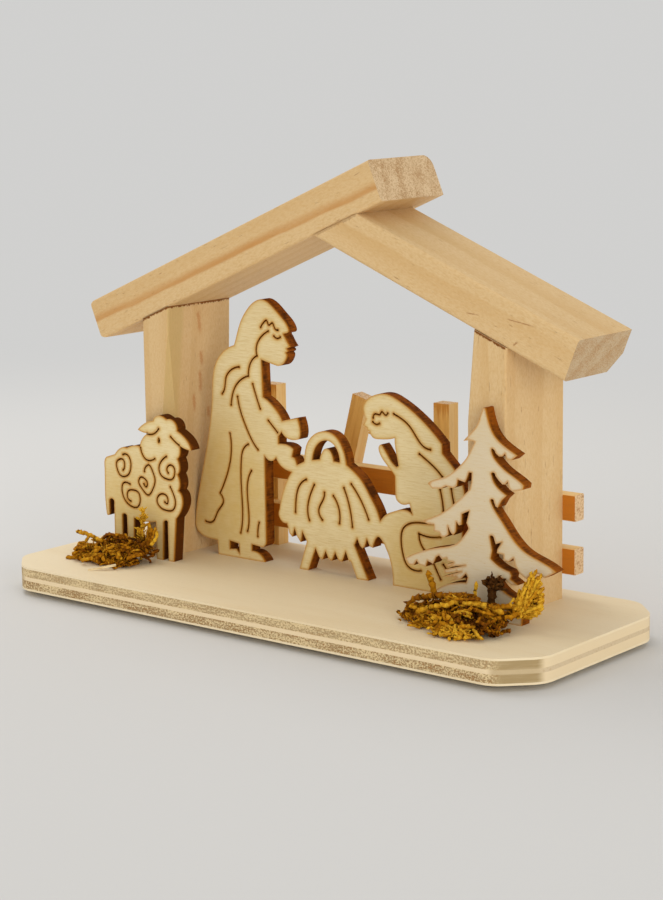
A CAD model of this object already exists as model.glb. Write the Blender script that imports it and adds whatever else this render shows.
import math
import random

import bmesh
import bpy
from bpy.props import FloatProperty, FloatVectorProperty, IntProperty, PointerProperty
from mathutils import Matrix, Vector, kdtree


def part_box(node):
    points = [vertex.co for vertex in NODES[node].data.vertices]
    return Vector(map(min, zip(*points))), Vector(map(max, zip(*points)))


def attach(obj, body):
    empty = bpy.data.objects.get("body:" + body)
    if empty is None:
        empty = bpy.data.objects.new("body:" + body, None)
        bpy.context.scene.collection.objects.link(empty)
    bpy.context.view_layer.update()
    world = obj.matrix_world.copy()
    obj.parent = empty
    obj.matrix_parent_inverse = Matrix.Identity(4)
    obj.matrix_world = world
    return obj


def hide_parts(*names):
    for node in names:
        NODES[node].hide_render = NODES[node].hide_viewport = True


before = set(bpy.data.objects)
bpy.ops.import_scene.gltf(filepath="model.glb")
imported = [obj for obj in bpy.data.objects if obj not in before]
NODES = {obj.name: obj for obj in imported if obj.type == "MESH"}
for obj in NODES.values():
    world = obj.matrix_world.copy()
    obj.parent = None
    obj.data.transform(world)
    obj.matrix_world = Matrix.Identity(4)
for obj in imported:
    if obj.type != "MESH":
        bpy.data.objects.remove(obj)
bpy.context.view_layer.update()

bl_info = {
    "name": "Nativity Stable",
    "version": (1, 0, 0),
    "blender": (4, 5, 0),
    "location": "3D View > Sidebar > Stable",
    "description": "Dresses a small wooden stable: plywood base, pine frame, cut plates and dried moss",
    "category": "Object",
}

MM = 0.001
BASE_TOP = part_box("base_top_veneer")[1].z
UP_THE_GRAIN = math.radians(-90)
HALVINGS = 8

# Where the grain pattern of each ply starts, in metres
TOP_GRAIN = (0.01, 0.004, 0)
UPPER_BAND_GRAIN = (0.02, 0, 0)
CORE_GRAIN = (0.05, 0, 0)
LOWER_BAND_GRAIN = (0.41, 0, 0)
BOTTOM_GRAIN = (0.31, 0.204, 0)

# How far the pith, or the streak, lies from a piece's middle, in metres; below is square to the slope
LEFT_BEAM_PITH = Vector((0, 0.046, 0))
LEFT_PITH_BELOW = 0.012
STREAK_BELOW = 0.0012
RIGHT_BEAM_PITH = Vector((0, 0.03, 0))
RIGHT_PITH_BELOW = 0.034
LEFT_POST_PITH = Vector((-0.03, 0.016, 0))
RIGHT_POST_PITH = Vector((-0.026, -0.02, 0))
RAIL_PITH = Vector((0, 0.006, -0.011))
PICKET_PITH = Vector((0.012, 0.007, 0))

# Lamps: place, what each is turned to, and width, in metres
LAMPS = {
    "overhead_lamp": ((-0.36, 0.1, 0.52), (0.0, 0.0, 0.02), 0.45),
    "side_lamp": ((0.84, -0.42, 0.22), (0.0, 0.0, 0.05), 0.45),
    "front_lamp": ((0.3, -0.9, 0.3), (0.0, 0.0, 0.05), 0.35),
}

# Floor: its radius in metres, and where it fades into the backdrop, in millimetres from its middle
FLOOR_RADIUS = 3.0
FADE_START = 180.0
FADE_END = 520.0

# Marks in the pine, each from point to point in millimetres, with the width that it fades over
BEAM_MARKS = [
    ((44.4, -0.8, 74.7), (48.6, -0.8, 74.3), 0.34),
    ((55.0, -0.8, 74.1), (64.2, -0.8, 72.6), 0.34),
    ((57.2, -0.8, 68.2), (58.6, -0.8, 69.2), 0.55),
]
LEFT_POST_MARKS = [
    ((-46.7, 10.3, 68.4), (-46.8, 11.4, 61.0), 1.7),
    ((-46.9, 11.4, 58.0), (-47.0, 11.9, 53.0), 1.5),
    ((-47.1, 11.1, 53.2), (-47.2, 11.5, 45.5), 1.6),
    ((-47.2, 8.8, 47.3), (-47.3, 9.1, 41.4), 1.3),
    ((-47.3, 14.3, 43.2), (-47.3, 14.5, 39.4), 1.3),
]
RIGHT_POST_MARKS = [
    ((55.4, 5.3, 53.9), (55.4, 5.3, 51.9), 0.3),
    ((55.4, 12.2, 53.0), (55.4, 12.2, 51.4), 0.3),
    ((55.4, 6.5, 46.1), (55.4, 6.5, 44.5), 0.3),
    ((55.4, 1.8, 44.1), (55.4, 2.0, 42.3), 0.3),
    ((55.4, 16.7, 27.2), (55.4, 16.7, 25.0), 0.3),
    ((55.4, 9.4, 25.3), (55.4, 9.4, 22.6), 0.3),
    ((44.9, -0.8, 58.0), (44.8, -0.8, 54.5), 0.6),
]

# Places where the cut plates are smoked brown: X and Z in millimetres, then how far the stain runs
STAINS = {
    "family_plate": [(-41.0, 22.0, 30.0), (27.0, 13.0, 20.0)],
    "sheep_plate": [(-57.0, 12.0, 26.0)],
    "fir_tree_plate": [],
}

# Tufts of the moss clumps: X and Y in millimetres from the clump's middle, heading in degrees,
# share of the way up the clump, and tone from dark to golden
LEFT_TUFTS = [
    (-7.5, -1.0, 180, 0.6, 0.66),
    (-7.0, -4.0, 190, 0.25, 0.62),
    (-6.0, 3.0, 150, 0.7, 0.45),
    (-3.5, -5.0, 20, 0.4, 0.64),
    (-2.0, 1.0, 10, 1.0, 0.54),
    (1.5, -3.0, 25, 0.85, 0.7),
    (3.5, 1.5, 170, 1.0, 0.46),
    (2.5, -5.0, 190, 0.3, 0.54),
    (6.0, 0.0, 200, 0.85, 0.42),
    (6.5, -2.0, 170, 0.6, 0.36),
    (7.0, 3.5, 160, 1.15, 0.3),
    (8.5, 2.5, 110, 1.0, 0.36),
    (6.5, -4.0, 170, 0.25, 0.44),
]
RIGHT_TUFTS = [
    (-10.5, 0.0, 200, 0.6, 0.5),
    (-9.5, -2.5, 320, 0.35, 0.54),
    (-8.0, 3.0, 20, 0.7, 0.34),
    (-6.0, -1.5, 20, 0.8, 0.42),
    (-5.0, -5.0, 15, 0.45, 0.62),
    (-2.5, 2.0, 15, 1.0, 0.48),
    (-1.5, -4.5, 30, 0.75, 0.7),
    (0.5, -1.0, 40, 1.05, 0.7),
    (0.5, -6.5, 20, 0.5, 0.6),
    (2.0, 3.5, 10, 1.0, 0.42),
    (3.0, -8.0, 10, 0.34, 0.86),
    (3.5, -3.5, 20, 0.8, 0.44),
    (6.0, -0.5, 20, 1.05, 0.58),
    (6.0, -8.2, 170, 0.42, 0.92),
    (9.5, -7.2, 190, 0.34, 0.86),
    (6.5, 3.5, 10, 0.95, 0.36),
    (6.5, -4.0, 5, 0.62, 0.06),
    (9.5, -3.5, 170, 0.56, 0.1),
    (9.5, 2.0, 170, 1.05, 0.38),
    (11.0, 0.0, 100, 0.8, 0.4),
    (11.5, -2.5, 130, 0.55, 0.44),
]

# Single strands of the clumps: tone, girth, then points in millimetres from the clump's middle and
# the base's top
LEFT_STRANDS = [
    (0.78, 1.3, [(-2.0, -2.1, 5.0), (-6.6, -2.1, 6.3), (-11.4, -2.1, 6.6)]),
    (0.8, 1.0, [(-6.6, -2.1, 6.2), (-8.3, -2.1, 3.8)]),
    (0.95, 1.2, [(9.6, 3.4, 4.5), (10.9, 3.8, 6.6), (11.3, 3.9, 8.6)]),
    (0.6, 1.2, [(7.6, 3.6, 4.0), (8.2, 3.8, 7.0), (8.6, 3.9, 10.2)]),
    (0.48, 1.3, [(8.4, 3.4, 4.0), (9.0, 3.8, 6.4), (9.6, 3.9, 9.0)]),
    (0.66, 1.0, [(9.0, 3.6, 4.2), (9.8, 3.9, 6.8), (10.6, 4.0, 9.4)]),
    (0.4, 1.4, [(7.4, 3.2, 3.8), (8.6, 3.6, 5.6), (9.8, 3.8, 7.2)]),
    (0.74, 0.9, [(9.6, 3.9, 6.6), (9.0, 3.9, 8.8), (8.8, 3.9, 10.6)]),
]
RIGHT_STRANDS = [
    (0.62, 1.9, [(-7.4, 3.7, 4.6), (-9.0, 3.7, 8.0), (-9.9, 3.7, 10.8)]),
    (0.9, 1.0, [(2.4, 4.7, 5.5), (2.9, 4.7, 9.9)]),
    (0.42, 1.6, [
        (-12.4, -0.4, 1.0), (-12.3, -0.6, 3.2), (-10.5, 0.0, 5.0), (-4.5, 0.2, 6.6), (2.6, 1.7, 7.0)]),
    (0.8, 1.5, [(-7.0, -4.5, 3.2), (-3.0, -4.2, 4.9), (1.2, -3.4, 6.0), (2.9, -0.9, 6.8)]),
    (0.86, 1.4, [(4.0, -2.0, 6.5), (9.0, -0.8, 6.4), (13.2, 0.6, 4.8)]),
    (0.5, 1.9, [(8.5, 2.0, 5.0), (11.5, 4.5, 5.4), (14.2, 7.0, 4.4)]),
    (0.44, 1.7, [(9.5, 0.5, 4.0), (12.5, 3.0, 4.4), (14.6, 6.6, 3.6)]),
    (0.6, 1.4, [(11.0, -1.0, 3.6), (13.4, 2.4, 3.6), (15.0, 6.4, 4.6)]),
]


# Sizes and colours that a user would change


def tint(name, description, default):
    return FloatVectorProperty(
        name=name, description=description, default=default,
        size=3, min=0.0, max=1.0, subtype="COLOR",
    )


def size(name, description, millimetres):
    return FloatProperty(
        name=name, description=description, default=millimetres * MM,
        min=0.0, unit="LENGTH", precision=5,
    )


def slope(name, description, degrees):
    return FloatProperty(
        name=name, description=description, default=math.radians(degrees), subtype="ANGLE",
    )


def count(name, description, default):
    return IntProperty(name=name, description=description, default=default, min=0)


def level(name, description, default, unit="NONE"):
    return FloatProperty(name=name, description=description, default=default, min=0.0, unit=unit)


class TimberLook(bpy.types.PropertyGroup):
    """Planed pine of the posts and roof beams."""

    sapwood: tint("Sapwood", "Pale wood between the rings", (0.675, 0.475, 0.24))
    latewood: tint("Latewood", "Darker bands of the rings", (0.565, 0.335, 0.12))
    streak: tint("Streak", "Orange streak along the long roof beam", (0.53, 0.26, 0.075))
    planed: tint("Planed", "Hand-planed front edge of a post", (0.57, 0.405, 0.165))
    resin: tint("Resin", "Reddish resin streaks of a post", (0.5, 0.215, 0.06))
    end_wood: tint("End wood", "Sawn ends", (0.69, 0.505, 0.295))
    dull_end: tint("Dull end", "Sawn end of the short roof beam", (0.53, 0.395, 0.235))
    end_pores: tint("End pores", "Open pores of the sawn ends", (0.41, 0.225, 0.085))
    pores: tint("Pores", "Resin canals and other dark marks", (0.31, 0.125, 0.034))
    joint: tint("Joint line", "Brown line where a beam sits on its post", (0.2, 0.066, 0.006))
    ridge_joint: level("Ridge joint", "Strength of the joint line between the beams", 0.35)
    post_joint: level("Post joint", "Strength of the joint line on a post", 1.0)
    ring_spacing: size("Ring spacing", "Distance from one ring to the next", 5.6)
    planed_depth: size("Planed depth", "How far back a post's edge is planed", 5.0)
    left_slope: slope("Left slope", "Slope of the long roof beam", 22.9)
    right_slope: slope("Right slope", "Slope of the short roof beam", 22.1)


class FenceLook(bpy.types.PropertyGroup):
    """Orange strips of the rails and pickets."""

    sapwood: tint("Sapwood", "Sawn sides of a strip", (0.8, 0.54, 0.225))
    picket: tint("Picket", "Broad faces of the middle picket", (0.74, 0.42, 0.115))
    pale_picket: tint("Pale picket", "Broad faces of the outer pickets", (0.92, 0.58, 0.19))
    rail: tint("Rail", "Broad faces of the rails", (0.575, 0.195, 0.017))
    latewood: tint("Latewood", "Darker bands of the rings", (0.42, 0.15, 0.018))
    torn: tint("Torn", "Torn fibres at the top of a picket", (0.6, 0.235, 0.028))
    end_wood: tint("End wood", "Sawn ends", (0.7, 0.49, 0.275))
    pores: tint("Pores", "Open pores on the ends", (0.33, 0.135, 0.035))
    ring_spacing: size("Ring spacing", "Distance from one ring to the next", 2.4)
    lean: slope("Lean", "Lean of the middle picket", 15.0)


class BaseLook(bpy.types.PropertyGroup):
    """Five plies of the base board."""

    veneer: tint("Veneer", "Face plies", (0.77, 0.645, 0.43))
    figure: tint("Figure", "Darker figure of the face plies", (0.71, 0.56, 0.33))
    band: tint("Cross band", "Long grain of the thick plies", (0.72, 0.575, 0.36))
    band_end: tint("Cross band end", "End grain of the thick plies", (0.71, 0.55, 0.3))
    slant: tint("Slant", "Thick plies where a corner is cut across", (0.36, 0.255, 0.115))
    core: tint("Core", "Thin middle ply", (0.76, 0.605, 0.38))
    core_end: tint("Core end", "End grain of the thin middle ply", (0.6, 0.47, 0.295))
    pores: tint("Pores", "Open pores of the end grain", (0.34, 0.155, 0.035))
    upper_pores: level("Upper pores", "Strength of the pores in the upper thick ply", 0.62)
    lower_pores: level("Lower pores", "Strength of the pores in the lower thick ply", 0.88)


class PlateLook(bpy.types.PropertyGroup):
    """Laser-cut plywood of the figures, sheep and tree."""

    veneer: tint("Veneer", "Face of the figures and the sheep", (0.76, 0.63, 0.36))
    tree_veneer: tint("Tree veneer", "Face of the tree", (0.645, 0.54, 0.375))
    figure: tint("Figure", "Fine grain lines of the face", (0.575, 0.405, 0.165))
    tan: tint("Tan", "Wood warmed by a cut near by", (0.645, 0.44, 0.13))
    scorch: tint("Scorch", "Browned wood beside a cut", (0.47, 0.19, 0.016))
    burn: tint("Burn", "Chestnut wood of a cut edge", (0.26, 0.068, 0.004))
    char: tint("Char", "Blackened wood of a cut edge", (0.065, 0.018, 0.002))
    reach: size("Scorch reach", "How far the scorch runs from a cut", 0.65)
    warm_reach: size("Warm reach", "How far the tan runs from a cut", 1.6)
    mesh_step: size("Mesh step", "Longest edge that the plates' faces keep", 0.9)


class MossLook(bpy.types.PropertyGroup):
    """Clumps and sprigs of dried feather moss."""

    hollow: tint("Hollow", "Shaded inside of a clump", (0.05, 0.014, 0.001))
    brown: tint("Brown", "Old stems", (0.2, 0.06, 0.002))
    mustard: tint("Mustard", "Most stems", (0.455, 0.185, 0.005))
    golden: tint("Golden", "Youngest stems and tips", (0.73, 0.41, 0.028))
    dark: tint("Dark", "Dark sprig", (0.09, 0.037, 0.008))
    tuft_stems: count("Tuft stems", "Stems in each tuft of a clump", 16)
    tuft_hairs: count("Tuft hairs", "Short fine stems that stand off each tuft", 18)
    right_length: size("Right length", "Length of the right clump", 30.0)
    right_width: size("Right width", "Width of the right clump", 14.4)
    right_turn: slope("Right turn", "Turn of the right clump on the base", -18.0)
    thickness: size("Thickness", "Thickness of a stem", 1.0)
    stride: size("Stride", "Step along a stem", 0.6)
    sprig_leaves: count("Sprig leaves", "Leaves of the left sprig", 64)
    brush_stalks: count("Brush stalks", "Stems in the stalk of the dark sprig", 8)
    brush_hairs: count("Brush hairs", "Stems in the head of the dark sprig", 46)
    flame_stems: count("Flame stems", "Stems of the yellow tuft", 90)
    flame_rise: size("Flame rise", "Height over the base where the yellow tuft starts", 3.8)
    seed: count("Seed", "Seed of the moss", 7)


class StrawLook(bpy.types.PropertyGroup):
    """Stray sliver of straw."""

    pale: tint("Pale", "Sunlit stalk", (0.86, 0.71, 0.43))
    line: tint("Line", "Lines along the stalk", (0.52, 0.35, 0.14))


class StageLook(bpy.types.PropertyGroup):
    """Floor, lamps and camera."""

    floor: tint("Floor", "Plain pale floor as it is seen", (0.63, 0.624, 0.61))
    bounce: tint("Bounce", "Floor as it lights the stable", (0.96, 0.95, 0.93))
    floor_drop: size("Floor drop", "Gap that shades the base's lower edge", 1.4)
    backdrop: tint("Backdrop", "Plain pale background", (0.635, 0.632, 0.622))
    sky: level("Sky", "Strength of the light from all round", 0.79)
    sky_tint: tint("Sky tint", "Colour of the light from all round", (1.0, 0.985, 0.96))
    overhead_lamp: level("Overhead lamp", "Power of the soft lamp above", 1.3, "POWER")
    side_lamp: level("Side lamp", "Power of the soft lamp at the right", 2.2, "POWER")
    front_lamp: level("Front lamp", "Power of the soft lamp in front", 0.45, "POWER")
    camera_place: FloatVectorProperty(
        name="Camera", description="Place of the camera", unit="LENGTH", size=3,
        default=(0.334894, -0.40532, 0.136501),
    )
    camera_turn: slope("Camera turn", "Turn to the left of straight ahead", 39.164)
    camera_pitch: slope("Camera pitch", "Tilt below the horizon", 10.545)
    camera_roll: slope("Camera roll", "Roll of the camera", -0.787)
    camera_lens: level("Lens", "Focal length", 89.785, "CAMERA")


# Shader maths


class Shade:
    """A number that changes over a surface. Sums on it add the Math nodes that work them out."""

    def __init__(self, tree, socket):
        self.tree = tree
        self.socket = socket

    def math(self, operation, *values):
        node = self.tree.node("ShaderNodeMath", {"operation": operation}, dict(enumerate(values)))
        return Shade(self.tree, node.outputs[0])

    def __add__(self, other):
        return self.math("ADD", self, other)

    __radd__ = __add__

    def __sub__(self, other):
        return self.math("SUBTRACT", self, other)

    def __rsub__(self, other):
        return self.math("SUBTRACT", other, self)

    def __mul__(self, other):
        return self.math("MULTIPLY", self, other)

    __rmul__ = __mul__

    def __truediv__(self, other):
        return self.math("DIVIDE", self, other)

    def __abs__(self):
        return self.math("ABSOLUTE", self)

    def root(self):
        return self.math("SQRT", self)

    def fraction(self):
        return self.math("FRACT", self)

    def most(self, other):
        return self.math("MAXIMUM", self, other)


class Tree:
    """Node tree of a material or of the world."""

    def __init__(self, owner):
        owner.use_nodes = True
        self.nodes = owner.node_tree.nodes
        self.links = owner.node_tree.links

    def node(self, kind, settings, sockets):
        """New node: its settings first, then a value or a link for each socket named."""
        node = self.nodes.new(kind)
        for name, value in settings.items():
            setattr(node, name, value)
        for name, value in sockets.items():
            self.feed(node.inputs[name], value)
        return node

    def feed(self, socket, value):
        if isinstance(value, Shade):
            value = value.socket
        if isinstance(value, bpy.types.NodeSocket):
            self.links.new(value, socket)
        elif socket.type == "RGBA":
            socket.default_value = (*value, 1.0)
        else:
            socket.default_value = value


class Finish(Tree):
    """A material whose colour, roughness and relief come from nodes."""

    def __init__(self, name):
        self.material = bpy.data.materials.new(name)
        super().__init__(self.material)
        self.shader = self.nodes["Principled BSDF"]
        self.place = self.node("ShaderNodeTexCoord", {}, {})

    def coordinates(self, origin=(0, 0, 0), turn=(0, 0, 0)):
        """Place on the piece in millimetres from an origin, turned so that X runs with the grain."""
        mapping = self.node("ShaderNodeMapping", {"vector_type": "TEXTURE"}, {
            "Vector": self.place.outputs["Object"],
            "Location": origin,
            "Rotation": turn,
            "Scale": (MM, MM, MM),
        })
        return mapping.outputs["Vector"]

    def split(self, vector):
        node = self.node("ShaderNodeSeparateXYZ", {}, {"Vector": vector})
        return [Shade(self, output) for output in node.outputs]

    def dot(self, vector, direction):
        node = self.node("ShaderNodeVectorMath", {"operation": "DOT_PRODUCT"}, {0: vector, 1: direction})
        return Shade(self, node.outputs["Value"])

    def facing(self, direction):
        """How squarely the surface faces along a direction, either way, from 0 to 1."""
        return abs(self.dot(self.place.outputs["Normal"], direction))

    def noise(self, vector, stretch, detail=2.0, roughness=0.5):
        """Cloudy noise; stretch is how many clouds there are to a millimetre each way."""
        scaled = self.node("ShaderNodeVectorMath", {"operation": "MULTIPLY"}, {0: vector, 1: stretch})
        node = self.node("ShaderNodeTexNoise", {}, {
            "Vector": scaled.outputs["Vector"], "Scale": 1.0, "Detail": detail, "Roughness": roughness,
        })
        return Shade(self, node.outputs[0])

    def step(self, value, low, high):
        """Eased step: 0 up to low, 1 from high on."""
        node = self.node("ShaderNodeMapRange", {"interpolation_type": "SMOOTHSTEP"}, {
            "Value": value, "From Min": low, "From Max": high,
        })
        return Shade(self, node.outputs["Result"])

    def mix(self, factor, first, second):
        """First colour where the factor is 0, second where it is 1."""
        node = self.node("ShaderNodeMix", {"data_type": "RGBA"}, {0: factor, 6: first, 7: second})
        return node.outputs[2]

    def attribute(self, name):
        node = self.node("ShaderNodeAttribute", {"attribute_name": name}, {})
        return Shade(self, node.outputs["Fac"])

    def finish(self, colour, roughness, relief, relief_depth, gloss=0.35):
        """Feeds the shader. Relief runs from 0 to 1 over its depth in metres."""
        bump = self.node("ShaderNodeBump", {}, {
            "Height": relief, "Distance": relief_depth, "Strength": 1.0,
        })
        self.feed(self.shader.inputs["Base Color"], colour)
        self.feed(self.shader.inputs["Roughness"], roughness)
        self.feed(self.shader.inputs["Normal"], bump.outputs["Normal"])
        self.feed(self.shader.inputs["Specular IOR Level"], gloss)
        return self.material


# Finishes


def wood_parts(wood, grain, spacing, sway):
    """Rings, fibres and flecks of solid wood, each from 0 to 1, in grain coordinates."""
    _, y, z = wood.split(grain)
    across = wood.noise(grain, (0.016, 0.06, 0.06)) - 0.5
    upward = wood.noise(grain, (0.027, 0.05, 0.05)) - 0.5
    y = y + across * sway
    z = z + upward * sway
    ring = ((y * y + z * z).root() / spacing).fraction()
    late = wood.step(ring, 0.3, 0.9) * (1 - wood.step(ring, 0.93, 1.0))
    fibre = wood.noise(grain, (0.1, 2.2, 2.2), detail=4.0, roughness=0.6)
    fleck = wood.step(wood.noise(grain, (0.28, 3.6, 3.6), detail=1.0), 0.71, 0.79)
    return late, fibre, fleck


def pine(name, look, origin, turn, along, end_wood, streak=None, planed=None, marks=(), mark_tint=None,
         joint=None):
    """Planed softwood about a pith line, with woolly fibres and dense speckle on its ends.

    A streak is a point on it, planed is how far back its front edge is planed, and a joint is a point
    on a glued face, the way out of it, the direction of the faces that show its line, and how strong
    the line is.
    """
    wood = Finish(name)
    grain = wood.coordinates(origin, turn)
    late, fibre, fleck = wood_parts(wood, grain, look.ring_spacing / MM, 3.0)
    cloud = wood.noise(grain, (0.02, 0.1, 0.1))
    wool = wood.noise(grain, (1.0, 2.8, 2.8), detail=3.0, roughness=0.75)
    colour = wood.mix(late * (0.05 + 0.55 * cloud), look.sapwood, look.latewood)
    colour = wood.mix(wood.step(wool, 0.36, 0.72) * 0.55, colour, look.latewood)
    colour = wood.mix(fleck * 0.6, colour, look.pores)
    if planed:
        scratch = wood.noise(wood.coordinates(origin, (0.7, 0.0, 0.0)), (1.8, 0.16, 1.8), detail=3.0)
        behind = wood.split(wood.coordinates())[1] + (cloud - 0.5) * 6.0
        sideways = wood.step(wood.facing((1, 0, 0)), 0.4, 0.7)
        bare = (1 - wood.step(behind, planed / MM - 2.0, planed / MM)) * sideways
        colour = wood.mix(bare * (0.35 + 0.8 * scratch), colour, look.planed)
    if streak:
        front = wood.step(wood.facing((0, 1, 0)), 0.8, 0.95)
        colour = wood.mix(grain_streak(wood, streak, turn) * front, colour, look.streak)
    for mark in marks:
        colour = wood.mix(dash(wood, *mark) * 0.7, colour, mark_tint or look.pores)
    end = wood.step(wood.facing(along), 0.8, 0.93)
    speckle = wood.noise(grain, (2.4, 2.8, 2.8), detail=3.0, roughness=0.75)
    blotch = wood.noise(grain, (0.3, 0.3, 0.3))
    pore = wood.step(speckle + (blotch - 0.5) * 0.3, 0.44, 0.6)
    end_colour = wood.mix(late * 0.2 + pore * 0.7, end_wood, look.end_pores)
    colour = wood.mix(end, colour, end_colour)
    if joint:
        colour = wood.mix(joint_line(wood, *joint), colour, look.joint)
    relief = fibre * 0.4 + wool * 0.6 + end * speckle - fleck * 0.4
    return wood.finish(colour, 0.5 + 0.25 * wool, relief, 0.00018, gloss=0.2)


def grain_streak(wood, point, turn):
    """Band along the grain through a point: sharp on its lower edge and fading upwards."""
    place = wood.coordinates(point, turn)
    x, _, z = wood.split(place)
    wander = wood.noise(place, (0.035, 0.0, 0.0)) - 0.5
    patch = wood.noise(place, (0.05, 0.3, 0.5), detail=3.0)
    off = z + x * 0.011 + wander * 2.6
    band = wood.step(off, -0.5, 0.1) * (1 - wood.step(off, 0.3, 2.4))
    return band * (0.35 + 0.9 * patch)


def dash(wood, start, end, width):
    """Short dark mark from one point to another in millimetres, fading over its width."""
    place = wood.coordinates(Vector(start) * MM)
    run = Vector(end) - Vector(start)
    onward = wood.dot(place, run.normalized())
    aside = (wood.dot(place, place) - onward * onward).most(0.0).root()
    ragged = wood.noise(place, (2.0, 2.0, 2.0)) * width
    ends = wood.step(onward, 0.0, 0.2 * run.length) * (1 - wood.step(onward, 0.6 * run.length, run.length))
    return ends * (1 - wood.step(aside + ragged, 0.5 * width, 1.2 * width))


def joint_line(wood, point, outward, shown, strength):
    """Ragged brown line along the edges of a glued face."""
    place = wood.coordinates(tuple(point))
    inside = wood.dot(place, tuple(outward))
    ragged = wood.noise(place, (1.3, 1.3, 1.3), detail=3.0)
    line = wood.step(inside + ragged * 1.4, 0.1, 0.4) * (0.65 + ragged * 0.7) * strength
    if shown:
        line = line * wood.step(wood.facing(shown), 0.7, 0.9)
    return line


def fence_strip(name, look, broad_tint, origin, turn, along, torn_end=None):
    """Sawn strip with orange heartwood on its broad front and back.

    Torn fibres show near one end, given as its distance from the origin along the grain.
    """
    wood = Finish(name)
    grain = wood.coordinates(origin, turn)
    late, fibre, fleck = wood_parts(wood, grain, look.ring_spacing / MM, 2.0)
    broad = wood.step(wood.facing((0, 1, 0)), 0.75, 0.95)
    cloud = wood.noise(grain, (0.06, 0.3, 0.3))
    pale = wood.mix(late * 0.4, look.sapwood, look.picket)
    deep = wood.mix(late * 0.15 + wood.step(cloud, 0.45, 0.75) * 0.25, broad_tint, look.latewood)
    colour = wood.mix(broad, pale, deep)
    colour = wood.mix(wood.step(fibre, 0.45, 0.85) * 0.22, colour, look.latewood)
    colour = wood.mix(fleck * 0.5, colour, look.pores)
    if torn_end:
        onward = wood.split(grain)[0]
        tear = wood.step(onward + fibre * 9.0, torn_end / MM + 1.0, torn_end / MM + 4.0) * broad
        colour = wood.mix(tear * 0.8, colour, look.torn)
    end = wood.step(wood.facing(along), 0.8, 0.93)
    speckle = wood.noise(grain, (2.0, 2.2, 2.2), detail=3.0, roughness=0.75)
    end_colour = wood.mix(wood.step(speckle, 0.47, 0.6) * 0.75, look.end_wood, look.pores)
    colour = wood.mix(end, colour, end_colour)
    relief = fibre * 0.7 + end * speckle
    return wood.finish(colour, 0.6 + 0.2 * fibre, relief, 0.00016, gloss=0.2)


def face_veneer(name, look, origin):
    """Rotary-cut face ply with a quiet figure along the board."""
    wood = Finish(name)
    grain = wood.coordinates(origin)
    figure = wood.noise(grain, (0.018, 0.1, 0.1), detail=3.0)
    fibre = wood.noise(grain, (0.16, 2.0, 2.0), detail=4.0, roughness=0.6)
    fleck = wood.step(wood.noise(grain, (0.5, 4.5, 4.5), detail=1.0), 0.7, 0.78)
    shade = wood.step(figure, 0.4, 0.8) * 0.55 + wood.step(fibre, 0.45, 0.85) * 0.25
    colour = wood.mix(shade, look.veneer, look.figure)
    colour = wood.mix(fleck * 0.25, colour, look.pores)
    return wood.finish(colour, 0.55 + 0.2 * fibre, fibre - fleck * 0.4, 0.00006)


def cross_band(name, look, origin, density):
    """Thick ply laid across the board, its open end grain on the long edges."""
    wood = Finish(name)
    grain = wood.coordinates(origin)
    fibre = wood.noise(grain, (2.0, 0.15, 2.0), detail=4.0, roughness=0.6)
    long_grain = wood.mix(wood.step(fibre, 0.4, 0.8) * 0.5, look.band, look.figure)
    across = wood.facing((0, 1, 0))
    layer = wood.noise(grain, (0.1, 0.1, 1.6))
    slant = wood.step(across, 0.3, 0.62) * (0.6 + 0.8 * layer)
    long_grain = wood.mix(slant, long_grain, look.slant)
    cloud = wood.noise(grain, (0.12, 0.4, 0.5))
    speckle = wood.noise(grain, (1.9, 1.9, 2.4), detail=3.0, roughness=0.75)
    pore = wood.step(speckle + (cloud - 0.5) * 0.3, 0.455, 0.6)
    end_grain = wood.mix(pore * density, look.band_end, look.pores)
    end = wood.step(across, 0.74, 0.98)
    colour = wood.mix(end, long_grain, end_grain)
    return wood.finish(colour, 0.65 + 0.2 * speckle, fibre * 0.4 + end * (1 - pore), 0.00012)


def core_ply(name, look, origin):
    """Thin middle ply, long grain on the long edges and end grain on the short ones."""
    wood = Finish(name)
    grain = wood.coordinates(origin)
    fibre = wood.noise(grain, (0.12, 2.0, 2.0), detail=3.0)
    long_grain = wood.mix(wood.step(fibre, 0.4, 0.8) * 0.4, look.core, look.figure)
    speckle = wood.noise(grain, (1.6, 1.6, 1.6), detail=3.0, roughness=0.7)
    end_grain = wood.mix(wood.step(speckle, 0.5, 0.65) * 0.25, look.core_end, look.pores)
    end = wood.step(wood.facing((1, 0, 0)), 0.75, 0.98)
    slant = wood.step(wood.facing((1, 0, 0)), 0.2, 0.5)
    colour = wood.mix(end, wood.mix(slant * 0.6, long_grain, look.slant), end_grain)
    return wood.finish(colour, 0.62 + 0.15 * fibre, fibre, 0.00008)


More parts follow.
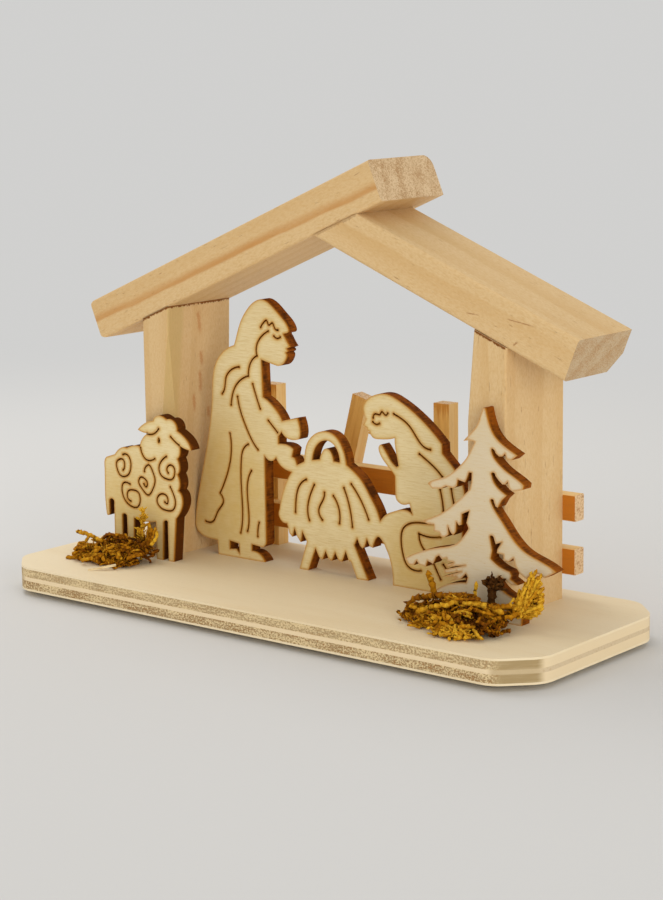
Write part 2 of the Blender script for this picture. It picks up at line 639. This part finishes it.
def cut_plywood(name, look, veneer, smoked, charred, stains, front, thickness):
    """Pale face veneer with scorched outlines; cut edges and grooves are burnt brown.

    Smoked is how much the face is tanned, and charred how much darker the cut edges are, from 0 to 1.
    Each stain is its X and Z and how far it runs.
    """
    wood = Finish(name)
    place = wood.coordinates((0, front, 0))
    depth = wood.split(place)[1]
    flat = wood.step(wood.facing((0, 1, 0)), 0.4, 0.75)
    groove = wood.step(depth, 0.15, 0.4) * (1 - wood.step(depth, thickness - 0.5, thickness - 0.2)) * flat
    fibre = wood.noise(place, (0.25, 3.4, 3.4), detail=4.0, roughness=0.7)
    figure = wood.noise(place, (0.03, 0.2, 0.25))
    fleck = wood.step(wood.noise(place, (0.8, 4.0, 4.5), detail=1.0), 0.67, 0.76)
    shade = wood.step(fibre, 0.42, 0.66) * 0.45 + wood.step(figure, 0.4, 0.8) * 0.25
    face = wood.mix(shade * (0.4 + 0.6 * smoked), veneer, look.figure)
    face = wood.mix(fleck * 0.35, face, look.scorch)
    smoke = wood.noise(place, (0.45, 0.45, 0.45), detail=3.0)
    distance = wood.attribute("cut_distance") + (smoke - 0.5) * 0.5
    warmth = (1 - wood.step(distance, 0.1, look.warm_reach / MM)) * (0.2 + 0.6 * smoke)
    for x, z, reach in stains:
        away = wood.node("ShaderNodeVectorMath", {"operation": "DISTANCE"}, {0: place, 1: (x, 0, z)})
        stain = 1 - wood.step(Shade(wood, away.outputs["Value"]), 0.3 * reach, reach)
        warmth = warmth.most(stain * (0.35 + 0.6 * smoke))
    halo = 1 - wood.step(distance, 0.0, look.reach / MM)
    face = wood.mix(warmth * smoked, face, look.tan)
    face = wood.mix(halo * (0.2 + smoke), face, look.scorch)
    streak = wood.noise(place, (2.6, 0.25, 2.6), detail=3.0)
    patch = wood.noise(place, (0.3, 0.5, 0.3))
    soot = wood.step(streak * 0.45 + patch * 0.55 + charred * 0.2, 0.42, 0.68)
    edge = wood.mix(soot * 0.9, look.burn, look.char)
    rim = (1 - wood.step(depth, 0.1, 0.7)) * (0.4 + 0.8 * smoke)
    edge = wood.mix(rim, edge, look.scorch)
    bottom = wood.mix(wood.step(smoke, 0.38, 0.62), look.scorch, look.burn)
    colour = wood.mix(1 - flat, face, edge)
    colour = wood.mix(groove, colour, bottom)
    relief = fibre * flat * 0.6 + (1 - flat) * streak
    return wood.finish(colour, 0.7 + 0.2 * fibre, relief, 0.00008, gloss=0.06)


def dried_moss(name, hollow, old, common, young):
    """Scaly stems whose tone runs from a dark hollow through old brown to young gold."""
    stem = Finish(name)
    place = stem.coordinates()
    tone = stem.attribute("tone") + (stem.noise(place, (0.8, 0.8, 0.8), detail=3.0) - 0.5) * 0.5
    colour = stem.mix(stem.step(tone, -0.15, 0.3), hollow, old)
    colour = stem.mix(stem.step(tone, 0.25, 0.62), colour, common)
    colour = stem.mix(stem.step(tone, 0.58, 1.0), colour, young)
    scale = stem.noise(place, (3.0, 3.0, 3.0))
    return stem.finish(colour, 0.75 + 0.2 * scale, scale, 0.0002, gloss=0.06)


def straw_stalk(name, look, origin, turn):
    """Split stalk with lines along it."""
    stalk = Finish(name)
    grain = stalk.coordinates(origin, turn)
    line = stalk.noise(grain, (0.2, 5.0, 5.0), detail=3.0)
    colour = stalk.mix(stalk.step(line, 0.4, 0.75), look.pale, look.line)
    return stalk.finish(colour, 0.45 + 0.2 * line, line, 0.00005)


# Pieces


def dress(node, material):
    """Gives a carried-over node its finish."""
    NODES[node].material_slots[0].material = material


def middle(node):
    """Middle of a node's box."""
    low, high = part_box(node)
    return (low + high) / 2


def finished_piece(name, bm, material, nodes):
    """Turns a bmesh into a piece that stands for its nodes."""
    mesh = bpy.data.meshes.new(name)
    bm.to_mesh(mesh)
    bm.free()
    mesh.materials.append(material)
    piece = bpy.data.objects.new(name, mesh)
    bpy.context.scene.collection.objects.link(piece)
    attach(piece, "root")
    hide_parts(*nodes)
    return piece


class STABLE_OT_dress_base(bpy.types.Operator):
    """Gives the plies of the base board their veneer and edge grain"""

    bl_idname = "stable.dress_base"
    bl_label = "Dress Base"

    def execute(self, context):
        look = context.scene.stable_base
        dress("base_top_veneer", face_veneer("top_veneer", look, TOP_GRAIN))
        dress("base_bottom_veneer", face_veneer("bottom_veneer", look, BOTTOM_GRAIN))
        upper = cross_band("upper_crossband", look, UPPER_BAND_GRAIN, look.upper_pores)
        lower = cross_band("lower_crossband", look, LOWER_BAND_GRAIN, look.lower_pores)
        dress("base_upper_crossband", upper)
        dress("base_lower_crossband", lower)
        dress("base_core_ply", core_ply("core_ply", look, CORE_GRAIN))
        return {"FINISHED"}


class STABLE_OT_dress_timber(bpy.types.Operator):
    """Gives the posts and roof beams their pine grain and joint lines"""

    bl_idname = "stable.dress_timber"
    bl_label = "Dress Timber"

    def execute(self, context):
        look = context.scene.stable_timber
        left = look.left_slope
        right = look.right_slope
        left_lift = Vector((-math.sin(left), 0, math.cos(left)))
        right_lift = Vector((math.sin(right), 0, math.cos(right)))
        left_seat = self.highest_corner("left_post")
        right_seat = self.highest_corner("right_post")
        beam = middle("left_roof_beam")
        dress("left_roof_beam", pine(
            "left_beam_pine", look, beam + LEFT_BEAM_PITH - left_lift * LEFT_PITH_BELOW, (0, -left, 0),
            (math.cos(left), 0, math.sin(left)), look.end_wood, streak=beam - left_lift * STREAK_BELOW))
        pith = middle("right_roof_beam") + RIGHT_BEAM_PITH - right_lift * RIGHT_PITH_BELOW
        dress("right_roof_beam", pine(
            "right_beam_pine", look, pith, (0, right, 0), (math.cos(right), 0, -math.sin(right)),
            look.dull_end, marks=BEAM_MARKS, joint=(left_seat, left_lift, (0, 1, 0), look.ridge_joint)))
        pith = middle("left_post") + LEFT_POST_PITH
        dress("left_post", pine(
            "left_post_pine", look, pith, (0, UP_THE_GRAIN, 0), (0, 0, 1), look.end_wood,
            planed=look.planed_depth, marks=LEFT_POST_MARKS, mark_tint=look.resin,
            joint=(left_seat, left_lift, None, look.post_joint)))
        pith = middle("right_post") + RIGHT_POST_PITH
        dress("right_post", pine(
            "right_post_pine", look, pith, (0, UP_THE_GRAIN, 0), (0, 0, 1), look.end_wood,
            marks=RIGHT_POST_MARKS, joint=(right_seat, right_lift, (0, 1, 0), look.post_joint)))
        return {"FINISHED"}

    @staticmethod
    def highest_corner(node):
        return max((v.co for v in NODES[node].data.vertices), key=lambda corner: corner.z)


class STABLE_OT_dress_fence(bpy.types.Operator):
    """Gives the rails and pickets their orange sawn wood"""

    bl_idname = "stable.dress_fence"
    bl_label = "Dress Fence"

    def execute(self, context):
        look = context.scene.stable_fence
        for node in ("fence_lower_rail", "fence_upper_rail"):
            pith = middle(node) + RAIL_PITH
            dress(node, fence_strip(node + "_wood", look, look.rail, pith, (0, 0, 0), (1, 0, 0)))
        pickets = {
            "fence_picket_left": (0.0, look.pale_picket),
            "fence_picket_middle": (look.lean, look.picket),
            "fence_picket_right": (0.0, look.pale_picket),
        }
        for node, (lean, broad) in pickets.items():
            low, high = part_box(node)
            pith = middle(node) + PICKET_PITH
            along = (math.sin(lean), 0, math.cos(lean))
            turn = (0, UP_THE_GRAIN + lean, 0)
            dress(node, fence_strip(node + "_wood", look, broad, pith, turn, along, (high.z - low.z) / 2))
        return {"FINISHED"}


class STABLE_OT_cut_plates(bpy.types.Operator):
    """Divides the cut plates finely and burns their edges and grooves"""

    bl_idname = "stable.cut_plates"
    bl_label = "Cut Plates"

    def execute(self, context):
        look = context.scene.stable_plates
        finishes = {
            "family_plate": (look.veneer, 1.0, 0.15),
            "sheep_plate": (look.veneer, 0.9, 1.0),
            "fir_tree_plate": (look.tree_veneer, 0.3, 0.0),
        }
        for node, (veneer, smoked, charred) in finishes.items():
            low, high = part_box(node)
            bm = bmesh.new()
            bm.from_mesh(NODES[node].data)
            bmesh.ops.remove_doubles(bm, verts=bm.verts, dist=1e-6)
            self.divide(bm, look.mesh_step)
            self.measure_cuts(bm)
            thickness = (high.y - low.y) / MM
            material = cut_plywood(
                node + "_plywood", look, veneer, smoked, charred, STAINS[node], low.y, thickness)
            finished_piece("burnt_" + node, bm, material, [node])
        return {"FINISHED"}

    @staticmethod
    def divide(bm, step):
        """Halves the long edges of the flat faces, so that the scorch can be kept at their corners."""
        bmesh.ops.triangulate(bm, faces=bm.faces)
        for _ in range(HALVINGS):
            bm.normal_update()
            flat = {face for face in bm.faces if abs(face.normal.y) > 0.99}
            long = {edge for face in flat for edge in face.edges if edge.calc_length() > step}
            bmesh.ops.subdivide_edges(bm, edges=list(long), cuts=1)
            bmesh.ops.triangulate(bm, faces=[face for face in bm.faces if len(face.verts) > 3])
            bm.normal_update()
            flat = {face for face in bm.faces if abs(face.normal.y) > 0.99}
            inner = [edge for edge in bm.edges if flat.issuperset(edge.link_faces)]
            bmesh.ops.beautify_fill(bm, faces=list(flat), edges=inner)

    @staticmethod
    def measure_cuts(bm):
        """Keeps each corner's distance, in millimetres, from the nearest cut edge."""
        bm.normal_update()
        cuts = []
        for edge in bm.edges:
            turned = [abs(face.normal.y) for face in edge.link_faces]
            if len(turned) == 2 and max(turned) > 0.9 and min(turned) < 0.5:
                cuts += [edge.verts[0].co, edge.verts[1].co, (edge.verts[0].co + edge.verts[1].co) / 2]
        tree = kdtree.KDTree(len(cuts))
        for index, cut in enumerate(cuts):
            tree.insert(cut, index)
        tree.balance()
        layer = bm.verts.layers.float.new("cut_distance")
        for corner in bm.verts:
            corner[layer] = tree.find(corner.co)[2] / MM


# Moss


def direction(angle, pitch):
    """Unit vector at an angle round from X and a pitch up from level."""
    return Vector((math.cos(angle) * math.cos(pitch), math.sin(angle) * math.cos(pitch), math.sin(pitch)))


class Mound:
    """Low heap of moss on the base: where it lies and how high it stands at each place."""

    def __init__(self, node, length, width, turn):
        low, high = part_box(node)
        self.centre = Vector(((low.x + high.x) / 2, (low.y + high.y) / 2, BASE_TOP))
        self.length = length
        self.width = width
        self.height = high.z - BASE_TOP
        self.turn = Matrix.Rotation(turn, 3, "Z")

    def inside(self, point):
        """Place of a point on the unit disc that the heap covers."""
        flat = self.turn.inverted() @ (point - self.centre)
        return Vector((flat.x / (self.length / 2), flat.y / (self.width / 2)))

    def top(self, point):
        """Height of the heap above the base at a point."""
        return self.height * math.sqrt(max(0.15, 1.0 - 0.8 * self.inside(point).length_squared))


class Growth:
    """Moss that grows stem by stem into one mesh."""

    def __init__(self, look, seed):
        self.rng = random.Random(look.seed + seed)
        self.radius = look.thickness / 2
        self.stride = look.stride
        self.bm = bmesh.new()
        self.bm.verts.layers.float.new("tone")
        self.part = bpy.data.meshes.new("part")

    def add(self, bm):
        """Adds a closed part to the growth, its faces turned outwards."""
        bmesh.ops.recalc_face_normals(bm, faces=bm.faces)
        for face in bm.faces:
            face.smooth = True
        bm.to_mesh(self.part)
        bm.free()
        self.bm.from_mesh(self.part)

    def stem(self, points, tone, girth=1.0):
        """Scaly stem along its points: a square section, flared into leaves at every other point."""
        rng = self.rng
        radius = self.radius * girth
        bm = bmesh.new()
        layer = bm.verts.layers.float.new("tone")
        heading = (points[1] - points[0]).normalized()
        matrix = Matrix.Translation(points[0]) @ heading.to_track_quat("Z", "X").to_matrix().to_4x4()
        foot = bmesh.ops.create_circle(
            bm, cap_ends=True, segments=4, radius=radius * 0.6, matrix=matrix)["verts"]
        tip = foot[0].link_faces[0]
        for corner in foot:
            corner[layer] = tone - 0.15
        last = len(points) - 1
        for index in range(1, len(points)):
            onward = (points[index] - points[index - 1]).normalized()
            turn = heading.rotation_difference(onward)
            heading = onward
            made = bmesh.ops.extrude_face_region(bm, geom=[tip])["geom"]
            tip = next(item for item in made if isinstance(item, bmesh.types.BMFace))
            for corner in tip.verts:
                arm = turn @ (corner.co - points[index - 1])
                arm = (arm - heading * arm.dot(heading)).normalized()
                corner.co = points[index] + arm * radius * (0.75 if index < last else 0.2)
                corner[layer] = tone - 0.12
                if index % 2 and index < last:
                    flare = arm * rng.uniform(0.0, 0.45) + heading * rng.uniform(0.0, 0.5)
                    corner.co += flare * radius
                    corner[layer] = tone + rng.uniform(-0.05, 0.15)
        self.add(bm)

    def strand(self, points, tone, girth=1.0):
        """Stem along a few points joined by straight runs, a little shaken."""
        path = []
        for start, end in zip(points, points[1:]):
            steps = max(2, round((end - start).length / self.stride))
            path += [start.lerp(end, step / steps) + self.shake(0.1 * MM) for step in range(steps)]
        self.stem(path + [points[-1]], tone, girth)

    def shake(self, spread):
        return Vector([self.rng.gauss(0, spread) for axis in range(3)])

    def spot(self, mound, x, y, lift, spread, share):
        """Point scattered about X and Y in millimetres, at a share of a lift up the mound."""
        rng = self.rng
        aside = Vector((x + rng.gauss(0, spread[0]), y + rng.gauss(0, spread[1]), 0)) * MM
        point = mound.centre + aside
        point.z += mound.top(point) * lift * rng.uniform(*share)
        return point

    def tuft(self, mound, stems, x, y, heading, lift, tone):
        """Stems that start close together on a mound and run much the same way."""
        rng = self.rng
        for stem in range(stems):
            point = self.spot(mound, x, y, lift, (1.7, 1.2), (0.55, 1.08))
            angle = math.radians(heading) + rng.gauss(0, 0.75)
            pitch = rng.uniform(-0.2, 0.7)
            curl = rng.gauss(0, 0.13)
            droop = rng.uniform(0.04, 0.16)
            path = []
            for step in range(rng.randint(7, 11)):
                path.append(point.copy())
                point += direction(angle, pitch) * self.stride
                point.z = max(point.z, BASE_TOP + 0.8 * self.radius)
                angle += curl + rng.gauss(0, 0.16)
                pitch -= droop
                if mound.inside(point).length > 0.85:
                    home = mound.centre - point
                    angle += 0.9 * math.sin(math.atan2(home.y, home.x) - angle)
            self.stem(path, tone + rng.gauss(0, 0.13), rng.uniform(0.65, 1.2))

    def fuzz(self, mound, hairs, x, y, lift, tone):
        """Short fine stems that stand off a tuft in every direction."""
        rng = self.rng
        for hair in range(hairs):
            point = self.spot(mound, x, y, lift, (1.2, 0.9), (0.7, 1.05))
            way = direction(rng.uniform(0, math.tau), rng.uniform(-0.1, 1.1))
            reach = rng.uniform(1.2, 2.4) * MM
            self.strand([point, point + way * reach], tone + rng.gauss(0.08, 0.12), 0.5)

    def heart(self, mound):
        """Dark rough heart of a clump, cut flat where it lies on the base."""
        bm = bmesh.new()
        layer = bm.verts.layers.float.new("tone")
        ball = bmesh.ops.create_icosphere(bm, subdivisions=3, radius=1.0)["verts"]
        for corner in ball:
            flat = Vector((corner.co.x * mound.length, corner.co.y * mound.width, 0)) * 0.31
            rise = Vector((0, 0, corner.co.z * self.rng.uniform(0.35, 0.62) * mound.height))
            corner.co = mound.centre + mound.turn @ flat + rise
            corner[layer] = self.rng.uniform(-0.3, 0.1)
        geom = bm.verts[:] + bm.edges[:] + bm.faces[:]
        cut = bmesh.ops.bisect_plane(
            bm, geom=geom, dist=1e-6, plane_co=(0, 0, BASE_TOP), plane_no=(0, 0, 1), clear_inner=True,
        )["geom_cut"]
        bmesh.ops.contextual_create(bm, geom=[item for item in cut if isinstance(item, bmesh.types.BMEdge)])
        self.add(bm)

    def finished(self, name, material, node):
        bpy.data.meshes.remove(self.part)
        return finished_piece(name, self.bm, material, [node])


class STABLE_OT_grow_moss(bpy.types.Operator):
    """Grows the two clumps of dried moss from tufts of creeping stems"""

    bl_idname = "stable.grow_moss"
    bl_label = "Grow Moss"

    def execute(self, context):
        look = context.scene.stable_moss
        material = dried_moss("dried_moss", look.hollow, look.brown, look.mustard, look.golden)
        low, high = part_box("moss_clump_left")
        left = Mound("moss_clump_left", high.x - low.x, high.y - low.y, 0.0)
        right = Mound("moss_clump_right", look.right_length, look.right_width, look.right_turn)
        self.clump(look, material, "moss_clump_left", left, LEFT_TUFTS, LEFT_STRANDS, seed=0)
        self.clump(look, material, "moss_clump_right", right, RIGHT_TUFTS, RIGHT_STRANDS, seed=1)
        return {"FINISHED"}

    @staticmethod
    def clump(look, material, node, mound, tufts, strands, seed):
        growth = Growth(look, seed)
        growth.heart(mound)
        for tuft in tufts:
            growth.tuft(mound, look.tuft_stems, *tuft)
        for tone, girth, points in strands:
            growth.strand([mound.centre + Vector(point) * MM for point in points], tone, girth)
        for x, y, _, lift, tone in tufts:
            growth.fuzz(mound, look.tuft_hairs, x, y, lift, tone)
        growth.finished("tangled_" + node, material, node)


class STABLE_OT_grow_sprigs(bpy.types.Operator):
    """Grows the upright sprigs and the yellow tuft that stand out of the moss"""

    bl_idname = "stable.grow_sprigs"
    bl_label = "Grow Sprigs"

    def execute(self, context):
        look = context.scene.stable_moss
        bright = dried_moss("golden_sprig", look.brown, look.mustard, look.golden, look.golden)
        dark = dried_moss("dark_sprig", look.hollow, look.hollow, look.dark, look.brown)
        self.fir_sprig(look, bright)
        self.brush_sprig(look, dark)
        self.flame_tuft(look, bright)
        return {"FINISHED"}

    def fir_sprig(self, look, material):
        """Upright stem set all round with short leaves, like a small fir."""
        growth = Growth(look, 10)
        rng = growth.rng
        foot, top = self.axis("moss_sprig_left")
        growth.strand([foot, foot.lerp(top, 0.5), top], 0.7, 0.9)
        for leaf in range(look.sprig_leaves):
            part = rng.uniform(0.2, 0.97)
            start = foot.lerp(top, part)
            angle = rng.uniform(0, math.tau)
            reach = rng.uniform(1.5, 2.7) * (1.4 - part) * MM
            out = Vector((math.cos(angle), math.sin(angle), 0.8)) * reach
            growth.strand([start, start + out], 0.45 + 0.45 * part, 0.55)
        growth.finished("feathered_moss_sprig_left", material, "moss_sprig_left")

    def brush_sprig(self, look, material):
        """Dark stalk with a brush of short stems at its head."""
        growth = Growth(look, 11)
        rng = growth.rng
        foot, top = self.axis("moss_sprig_right")
        neck = foot.lerp(top, 0.78)
        for stalk in range(look.brush_stalks):
            growth.strand([foot + growth.shake(0.45 * MM), neck + growth.shake(0.45 * MM)], 0.5, 1.1)
        for hair in range(look.brush_hairs):
            way = direction(rng.uniform(0, math.tau), rng.uniform(-0.2, 1.2))
            way.y *= 0.6
            reach = rng.uniform(1.8, 3.4) * MM
            start = neck + growth.shake(0.45 * MM)
            growth.strand([start, start + way * reach], rng.uniform(0.35, 0.75), 0.8)
        growth.finished("feathered_moss_sprig_right", material, "moss_sprig_right")

    def flame_tuft(self, look, material):
        """Bright stems that fan out from one foot to a flame, full below and pointed at the top."""
        growth = Growth(look, 12)
        rng = growth.rng
        foot, top = self.axis("moss_tuft_right")
        foot.z += look.flame_rise
        top.x -= 1.6 * MM
        shoulder = foot + Vector((0, 0, 2.6)) * MM
        side = top + Vector((1.9, 0, -5.4)) * MM
        heel = Vector((top.x + 1.0 * MM, foot.y, foot.z + 0.7 * MM))
        for stem in range(look.flame_stems):
            reach = 3 * rng.random()
            start, end = ((shoulder, top), (top, side), (side, heel))[int(reach)]
            tip = start.lerp(end, reach % 1) + growth.shake(0.35 * MM)
            root = foot.lerp(heel, 0.45 * rng.random()) + growth.shake(0.5 * MM)
            bend = root.lerp(tip, 0.5) + growth.shake(0.4 * MM)
            growth.strand([root, bend, tip], 0.64 + rng.gauss(0, 0.16), 0.95)
        growth.finished("feathered_moss_tuft_right", material, "moss_tuft_right")

    @staticmethod
    def axis(node):
        """Middles of a sprig's foot and of its top."""
        corners = [v.co for v in NODES[node].data.vertices]
        ends = []
        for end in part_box(node):
            ring = [corner for corner in corners if abs(corner.z - end.z) < 0.05 * MM]
            ends.append(sum(ring, Vector()) / len(ring))
        return ends


class STABLE_OT_dress_straw(bpy.types.Operator):
    """Gives the stray straw its stalk lines"""

    bl_idname = "stable.dress_straw"
    bl_label = "Dress Straw"

    def execute(self, context):
        corners = [v.co for v in NODES["straw_sliver"].data.vertices]
        point = min(corners, key=lambda corner: corner.y)
        butt = max(corners, key=lambda corner: corner.y)
        run = butt - point
        turn = (0, 0, math.atan2(run.y, run.x))
        look = context.scene.stable_straw
        dress("straw_sliver", straw_stalk("straw_stalk", look, point, turn))
        return {"FINISHED"}


# Stage


class STABLE_OT_set_stage(bpy.types.Operator):
    """Sets the floor, the lamps, the light from all round and the camera"""

    bl_idname = "stable.set_stage"
    bl_label = "Set Stage"

    def execute(self, context):
        look = context.scene.stable_stage
        self.lay_floor(look)
        self.light_sky(context.scene, look)
        for name, (place, target, width) in LAMPS.items():
            self.hang_lamp(name, place, target, width, getattr(look, name))
        self.place_camera(context.scene, look)
        context.scene.view_settings.view_transform = "Standard"
        return {"FINISHED"}

    @staticmethod
    def lay_floor(look):
        """Pale floor that fades into the backdrop well away from the stable."""
        bm = bmesh.new()
        matrix = Matrix.Translation((0, 0, -look.floor_drop))
        bmesh.ops.create_circle(bm, cap_ends=True, segments=64, radius=FLOOR_RADIUS, matrix=matrix)
        mesh = bpy.data.meshes.new("floor")
        bm.to_mesh(mesh)
        bm.free()
        floor = Finish("pale_floor")
        place = floor.coordinates()
        away = floor.node("ShaderNodeVectorMath", {"operation": "LENGTH"}, {0: place})
        far = floor.step(Shade(floor, away.outputs["Value"]), FADE_START, FADE_END)
        grain = floor.noise(place, (0.5, 0.5, 0.5))
        seen = seen_directly(floor)
        floor.finish(floor.mix(seen, look.bounce, look.floor), 0.9, grain, 0.00002, gloss=0.0)
        glow = floor.node("ShaderNodeEmission", {}, {"Color": look.backdrop, "Strength": 1.0})
        blend = floor.node("ShaderNodeMixShader", {}, {
            0: far * seen, 1: floor.shader.outputs[0], 2: glow.outputs[0],
        })
        floor.feed(floor.nodes["Material Output"].inputs["Surface"], blend.outputs[0])
        mesh.materials.append(floor.material)
        piece = bpy.data.objects.new("floor", mesh)
        bpy.context.scene.collection.objects.link(piece)

    @staticmethod
    def light_sky(scene, look):
        """Even light from all round, seen as the plain backdrop."""
        scene.world = bpy.data.worlds.new("soft_sky")
        sky = Tree(scene.world)
        light = sky.nodes["Background"]
        sky.feed(light.inputs["Color"], look.sky_tint)
        sky.feed(light.inputs["Strength"], look.sky)
        plain = sky.node("ShaderNodeBackground", {}, {"Color": look.backdrop, "Strength": 1.0})
        blend = sky.node("ShaderNodeMixShader", {}, {
            0: seen_directly(sky), 1: light.outputs[0], 2: plain.outputs[0],
        })
        sky.feed(sky.nodes["World Output"].inputs["Surface"], blend.outputs[0])

    @staticmethod
    def hang_lamp(name, place, target, width, power):
        lamp = bpy.data.lights.new(name, "AREA")
        lamp.shape = "DISK"
        lamp.size = width
        lamp.energy = power
        holder = bpy.data.objects.new(name, lamp)
        holder.location = place
        holder.rotation_euler = (Vector(target) - Vector(place)).to_track_quat("-Z", "Y").to_euler()
        bpy.context.scene.collection.objects.link(holder)

    @staticmethod
    def place_camera(scene, look):
        camera = bpy.data.cameras.new("camera")
        camera.lens = look.camera_lens
        camera.clip_start = 0.01
        holder = bpy.data.objects.new("camera", camera)
        turn = Matrix.Rotation(look.camera_turn, 4, "Z")
        pitch = Matrix.Rotation(math.radians(90) - look.camera_pitch, 4, "X")
        roll = Matrix.Rotation(look.camera_roll, 4, "Z")
        holder.matrix_world = Matrix.Translation(look.camera_place) @ turn @ pitch @ roll
        scene.collection.objects.link(holder)
        scene.camera = holder


def seen_directly(tree):
    """1 where the eye, a reflection or a clear piece looks at the backdrop, else 0."""
    path = tree.node("ShaderNodeLightPath", {}, {})
    rays = [Shade(tree, path.outputs[name]) for name in
            ("Is Camera Ray", "Is Glossy Ray", "Is Transmission Ray")]
    return rays[0].most(rays[1]).most(rays[2])


# Sidebar and registration


LOOKS = {
    "stable_base": BaseLook,
    "stable_timber": TimberLook,
    "stable_fence": FenceLook,
    "stable_plates": PlateLook,
    "stable_moss": MossLook,
    "stable_straw": StrawLook,
    "stable_stage": StageLook,
}

OPERATORS = [
    STABLE_OT_dress_base,
    STABLE_OT_dress_timber,
    STABLE_OT_dress_fence,
    STABLE_OT_cut_plates,
    STABLE_OT_grow_moss,
    STABLE_OT_grow_sprigs,
    STABLE_OT_dress_straw,
    STABLE_OT_set_stage,
]


class STABLE_PT_sidebar(bpy.types.Panel):
    """Lists the looks and the operators of the stable"""

    bl_idname = "STABLE_PT_sidebar"
    bl_label = "Stable"
    bl_space_type = "VIEW_3D"
    bl_region_type = "UI"
    bl_category = "Stable"

    def draw(self, context):
        for operator in OPERATORS:
            self.layout.operator(operator.bl_idname)
        for name, look in LOOKS.items():
            box = self.layout.box()
            box.label(text=look.__doc__)
            for key in look.__annotations__:
                box.prop(getattr(context.scene, name), key)


CLASSES = [*LOOKS.values(), *OPERATORS, STABLE_PT_sidebar]


def register():
    for item in CLASSES:
        bpy.utils.register_class(item)
    for name, look in LOOKS.items():
        setattr(bpy.types.Scene, name, PointerProperty(type=look))


def unregister():
    for name in LOOKS:
        delattr(bpy.types.Scene, name)
    for item in reversed(CLASSES):
        bpy.utils.unregister_class(item)


def main():
    register()
    bpy.ops.stable.dress_base()
    bpy.ops.stable.dress_timber()
    bpy.ops.stable.dress_fence()
    bpy.ops.stable.cut_plates()
    bpy.ops.stable.grow_moss()
    bpy.ops.stable.grow_sprigs()
    bpy.ops.stable.dress_straw()
    bpy.ops.stable.set_stage()


if __name__ == "__main__":
    main()
